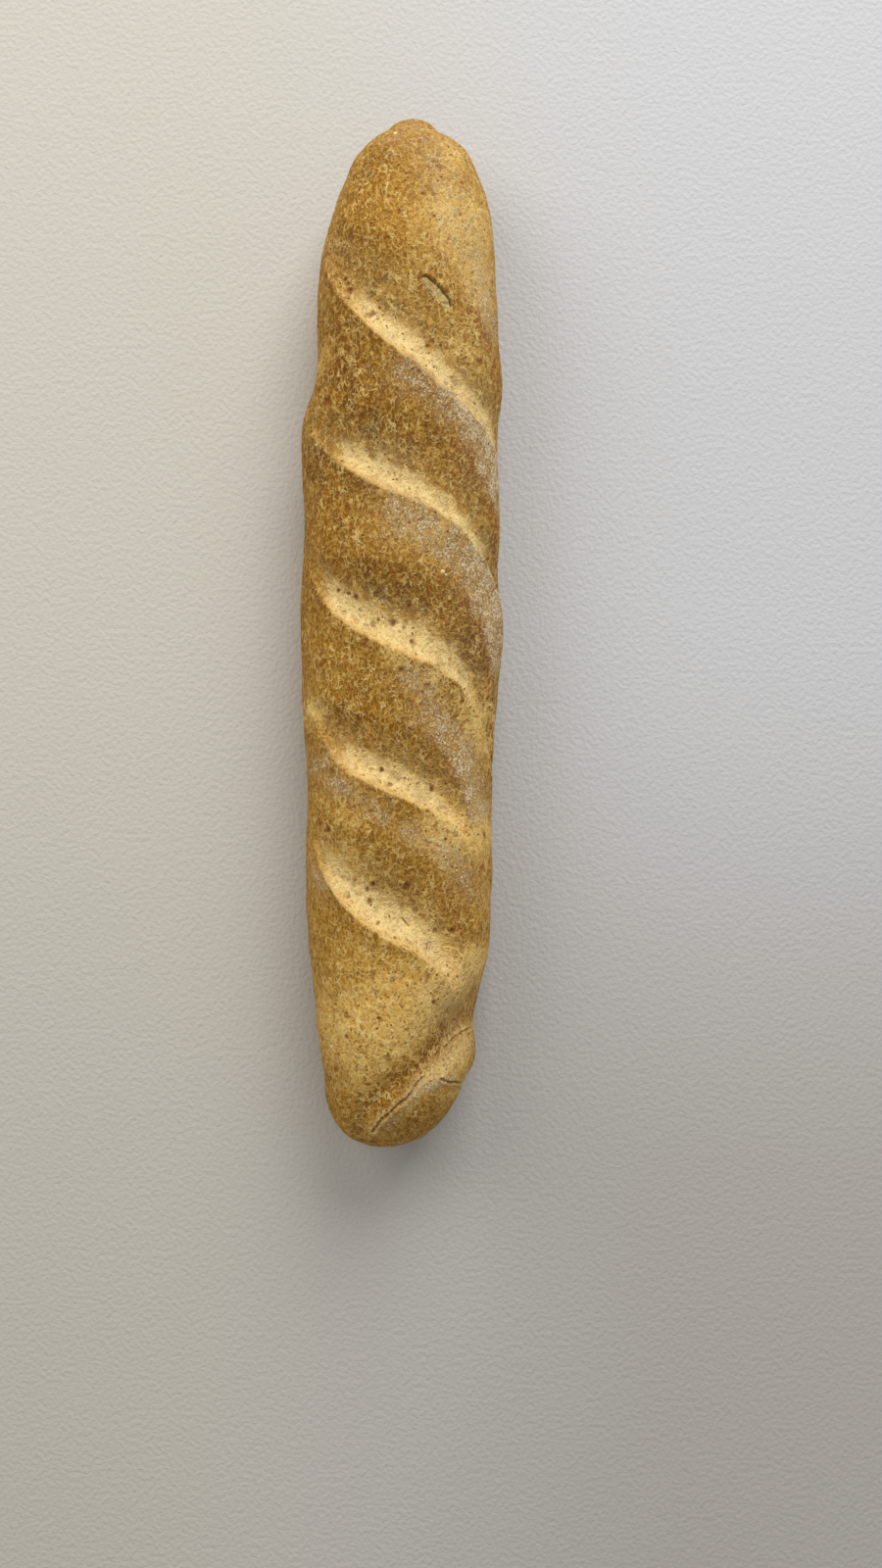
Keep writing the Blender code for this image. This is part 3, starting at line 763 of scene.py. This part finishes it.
def makeStrewTree():     # small flattened grains on the faces of a mesh, as thick as a named mask says
    tree = bpy.data.node_groups.new("strewnGrains", "GeometryNodeTree")
    tree.is_modifier = True
    geometryInput(tree, "Geometry", "NodeSocketGeometry")
    geometryInput(tree, "Mask", "NodeSocketString", "flour")
    numbers = {"Density": 1.0, "Cutoff": 0.1, "Radius": 0.0003, "Flatness": 0.5, "Sink": 0.0}
    for name, default in numbers.items():
        geometryInput(tree, name, "NodeSocketFloat", default)
    geometryInput(tree, "Seed", "NodeSocketInt", 1)
    geometryInput(tree, "Material", "NodeSocketMaterial")
    tree.interface.new_socket(name="Geometry", in_out="OUTPUT", socket_type="NodeSocketGeometry")
    given = tree.nodes.new("NodeGroupInput").outputs
    mask = put(tree, "GeometryNodeInputNamedAttribute", {"Name": given["Mask"]}, data_type="FLOAT").outputs[0]
    share = put(tree, "ShaderNodeMapRange", {"Value": mask, "From Min": given["Cutoff"],
                                             "From Max": 1.0}).outputs[0]
    strewn = put(tree, "GeometryNodeDistributePointsOnFaces",
                 {"Mesh": given["Geometry"], "Density": calc(tree, "MULTIPLY", share, given["Density"]),
                  "Seed": given["Seed"]}, distribute_method="RANDOM")
    turned = put(tree, "FunctionNodeRandomValue", {"Max": 6.283, "Seed": given["Seed"]}, data_type="FLOAT")
    spin = put(tree, "FunctionNodeRotateRotation",
               {"Rotation": strewn.outputs["Rotation"],
                "Rotate By": put(tree, "FunctionNodeAxisAngleToRotation",
                                 {"Axis": (0, 0, 1), "Angle": turned.outputs["Value"]}).outputs[0]},
               rotation_space="LOCAL")
    stretch = put(tree, "FunctionNodeRandomValue", {0: (0.5, 0.4, 0.6), 1: (1.7, 1.2, 1.2),
                                                    "Seed": given["Seed"]}, data_type="FLOAT_VECTOR")
    thickness = calc(tree, "MULTIPLY", given["Radius"], given["Flatness"])
    flat = put(tree, "ShaderNodeCombineXYZ", {"X": given["Radius"], "Y": given["Radius"], "Z": thickness})
    size = put(tree, "ShaderNodeVectorMath", {0: stretch.outputs[0], 1: flat.outputs[0]},
               operation="MULTIPLY")
    grain = put(tree, "GeometryNodeMeshIcoSphere", {"Radius": 1.0, "Subdivisions": 1})
    placed = put(tree, "GeometryNodeInstanceOnPoints",
                 {"Points": strewn.outputs["Points"], "Instance": grain.outputs["Mesh"],
                  "Rotation": spin.outputs[0], "Scale": size.outputs[0]})
    down = put(tree, "ShaderNodeCombineXYZ", {"Z": calc(tree, "MULTIPLY", given["Sink"], -1.0)}).outputs[0]
    sunk = put(tree, "GeometryNodeTranslateInstances",
               {"Instances": placed.outputs[0], "Translation": down, "Local Space": True})
    whole = put(tree, "GeometryNodeRealizeInstances", {0: sunk.outputs[0]})
    finished = put(tree, "GeometryNodeSetMaterial", {"Geometry": whole.outputs[0],
                                                     "Material": given["Material"]})
    end = tree.nodes.new("NodeGroupOutput")
    tree.links.new(finished.outputs[0], end.inputs[0])
    return tree


strewTree = makeStrewTree()


def plainMaterial(name, colour, other, roughness, patch):     # two tones in soft patches
    material = bpy.data.materials.new(name)
    material.use_nodes = True
    tree = material.node_tree
    shader = tree.nodes["Principled BSDF"]
    place = put(tree, "ShaderNodeTexCoord").outputs["Object"]
    patches = useGroup(tree, mottleGroup, Vector=place, Size=patch, Contrast=3.0)
    tone = blendColour(tree, patches, colour, other)
    tree.links.new(tone, shader.inputs["Base Color"])
    shader.inputs["Roughness"].default_value = roughness
    shader.inputs["Specular IOR Level"].default_value = 0.3
    return material


def strew(name, material, **inputs):     # runs the tree over the crust and keeps a plain mesh
    holder = bpy.data.objects.new(name + "Source", crustPiece.data)
    bpy.context.scene.collection.objects.link(holder)
    modifier = holder.modifiers.new("strewn", "NODES")
    modifier.node_group = strewTree
    inputs["Material"] = material
    for socket in strewTree.interface.items_tree:
        if socket.in_out == "INPUT" and socket.name in inputs:
            modifier[socket.identifier] = inputs[socket.name]
    ready = holder.evaluated_get(bpy.context.evaluated_depsgraph_get())
    mesh = bpy.data.meshes.new_from_object(ready)
    mesh.name = name
    holder.modifiers.clear()
    bpy.data.objects.remove(holder)
    mesh.shade_smooth()
    for layer in [a.name for a in mesh.attributes if a.name in (*maskNames, "bran")]:
        mesh.attributes.remove(mesh.attributes[layer])
    piece = bpy.data.objects.new(name, mesh)
    bpy.context.scene.collection.objects.link(piece)
    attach(piece, "root")
    print(name + ":", len(mesh.polygons), "triangles")
    return piece


flourGrains = {
    "inputs": {"Mask": "flour", "Density": 1.1e6, "Cutoff": 0.20, "Radius": 0.00017, "Flatness": 0.6,
               "Seed": 4},
    "colours": (srgb(236, 214, 172), srgb(204, 170, 122)), "roughness": 0.9, "patch": 0.0015,
}
branFlecks = {
    "inputs": {"Mask": "bran", "Density": 2.2e4, "Cutoff": 0.0, "Radius": 0.00042, "Flatness": 0.35,
               "Sink": 0.00003, "Seed": 11},
    "colours": (srgb(118, 70, 26), srgb(160, 106, 48)), "roughness": 0.7, "patch": 0.006,
}
layer = crustPiece.data.attributes.new("bran", "FLOAT", "POINT")     # bran lies alike everywhere
layer.data.foreach_set("value", np.ones(len(crustPiece.data.vertices), np.float32))
for name, materialName, grains in (("flour_grains", "flourGrain", flourGrains),
                                   ("bran_flecks", "branFleck", branFlecks)):
    finish = plainMaterial(materialName, *grains["colours"], grains["roughness"], grains["patch"])
    strew(name, finish, **grains["inputs"])


# Pale crumbs, each laid on the crust at a listed place

crumbs = {
    "places": (     # x, y and radius in mm
        (19.7, -16.0, 0.85), (18.6, -17.2, 0.55), (186.2, 2.0, 0.85), (-156.4, 25.7, 0.80),
        (-8.1, -10.6, 0.65), (-12.5, -0.2, 0.35), (68.7, 31.4, 0.45), (-51.5, -1.0, 0.40),
        (90.2, -19.2, 0.45), (-180.0, -6.0, 0.5), (-166.6, -16.0, 0.5), (-128.8, -18.2, 0.35)),
    "roughness": 0.18,
}


def makeCrumbs():
    shape = bmesh.new()
    for index, (x, y, radius) in enumerate(crumbs["places"]):
        hit, spot, normal, _ = crustPiece.ray_cast(Vector((x * mm, y * mm, 0.2)), Vector((0, 0, -1)))
        if not hit:
            continue
        ball = bmesh.ops.create_icosphere(shape, subdivisions=2, radius=radius * mm)["verts"]
        for vertex in ball:
            outward = vertex.co.normalized()
            swell = 1 + crumbs["roughness"] * noise.noise(outward * 1.6 + Vector((index * 7.3, 0, 0)))
            vertex.co = Vector((vertex.co.x * 1.15, vertex.co.y, vertex.co.z * 0.75)) * swell
            vertex.co = normal.to_track_quat("Z", "X") @ vertex.co + spot + normal * radius * 0.35 * mm
    mesh = bpy.data.meshes.new("crumbs")
    shape.to_mesh(mesh)
    shape.free()
    mesh.shade_smooth()
    mesh.materials.append(plainMaterial("crumb", srgb(246, 232, 186), srgb(232, 208, 140), 0.5, 0.001))
    piece = bpy.data.objects.new("crumbs", mesh)
    bpy.context.scene.collection.objects.link(piece)
    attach(piece, "root")
    print("crumbs:", len(mesh.polygons), "triangles")


makeCrumbs()


# Stage

stage = {
    # the darker floor tone is painted shade, where the light falls off towards -X and the right
    "floorLeft": srgb(214, 210, 199), "floorRight": srgb(213, 214, 217), "floorFalloffShade": srgb(190, 186, 180),
    "floorSize": 4.0, "floorDrop": 0.3 * mm, "plasterSize": 1.8 * mm, "plasterRise": 1.2 * mm,
    "worldStrength": 0.35, "worldColour": (1.0, 0.99, 0.975),
    # name, place, size, power, colour
    "lamps": (("key", (1.24, -0.42, 0.92), 0.95, 17.4, (1.0, 1.0, 1.0)),
              ("fill", (0.70, 0.85, 0.85), 0.90, 5.5, (1.0, 0.94, 0.84))),
}


def makeStage():
    half = stage["floorSize"] / 2
    mesh = bpy.data.meshes.new("floor")
    corners = [(-half, -half), (half, -half), (half, half), (-half, half)]
    mesh.from_pydata([(x, y, -stage["floorDrop"]) for x, y in corners], [], [(0, 1, 2, 3)])
    floor = bpy.data.objects.new("floor", mesh)
    bpy.context.scene.collection.objects.link(floor)
    material = bpy.data.materials.new("paleFloor")
    material.use_nodes = True
    tree = material.node_tree
    shader = tree.nodes["Principled BSDF"]
    place = put(tree, "ShaderNodeTexCoord").outputs["Object"]
    axis = put(tree, "ShaderNodeSeparateXYZ", {0: place}).outputs
    toRight = ramp(tree, axis["Y"], 0.10, -0.12)
    colour = blendColour(tree, toRight, stage["floorLeft"], stage["floorRight"])
    # painted shade: the floor darker towards -X, most on the right (-Y), as the light falls off
    low = calc(tree, "MULTIPLY", ramp(tree, axis["X"], 0.02, -0.24),
               calc(tree, "MULTIPLY_ADD", toRight, 0.7, 0.3))
    colour = blendColour(tree, low, colour, stage["floorFalloffShade"])
    grain = put(tree, "ShaderNodeTexNoise", {"Vector": place, "Scale": 1 / stage["plasterSize"],
                                             "Detail": 2.0})
    rough = put(tree, "ShaderNodeBump", {"Height": grain.outputs["Fac"], "Strength": 0.4,
                                         "Distance": stage["plasterRise"]})
    tree.links.new(colour, shader.inputs["Base Color"])
    tree.links.new(rough.outputs[0], shader.inputs["Normal"])
    shader.inputs["Roughness"].default_value = 0.9
    mesh.materials.append(material)
    for name, place, size, power, colour in stage["lamps"]:
        light = bpy.data.lights.new(name, "AREA")
        light.size, light.energy, light.color = size, power, colour
        lamp = bpy.data.objects.new(name, light)
        lamp.location = place
        lamp.rotation_euler = (-Vector(place)).to_track_quat("-Z", "Y").to_euler()
        bpy.context.scene.collection.objects.link(lamp)
    world = bpy.data.worlds.new("softDaylight")
    bpy.context.scene.world = world
    world.use_nodes = True
    background = world.node_tree.nodes["Background"]
    background.inputs["Color"].default_value = (*stage["worldColour"], 1.0)
    background.inputs["Strength"].default_value = stage["worldStrength"]
    bpy.context.scene.view_settings.view_transform = "Standard"


photo = {     # degrees and metres
    "viewAngle": 60.0, "above": 0.5286, "level": 0.0215, "x": -0.0583, "y": -0.0153,
}


def makeCamera():     # straight down, with the loaf's pointed end up in the picture
    lens = bpy.data.cameras.new("camera")
    lens.sensor_width = 36.0
    lens.lens = lens.sensor_width / 2 / math.tan(math.radians(photo["viewAngle"] / 2))
    camera = bpy.data.objects.new("camera", lens)
    camera.location = (photo["x"], photo["y"], photo["level"] + photo["above"])
    camera.rotation_euler = (0, 0, -quarterTurn)
    bpy.context.scene.collection.objects.link(camera)
    bpy.context.scene.camera = camera


makeStage()
makeCamera()
print("stage and camera ready")
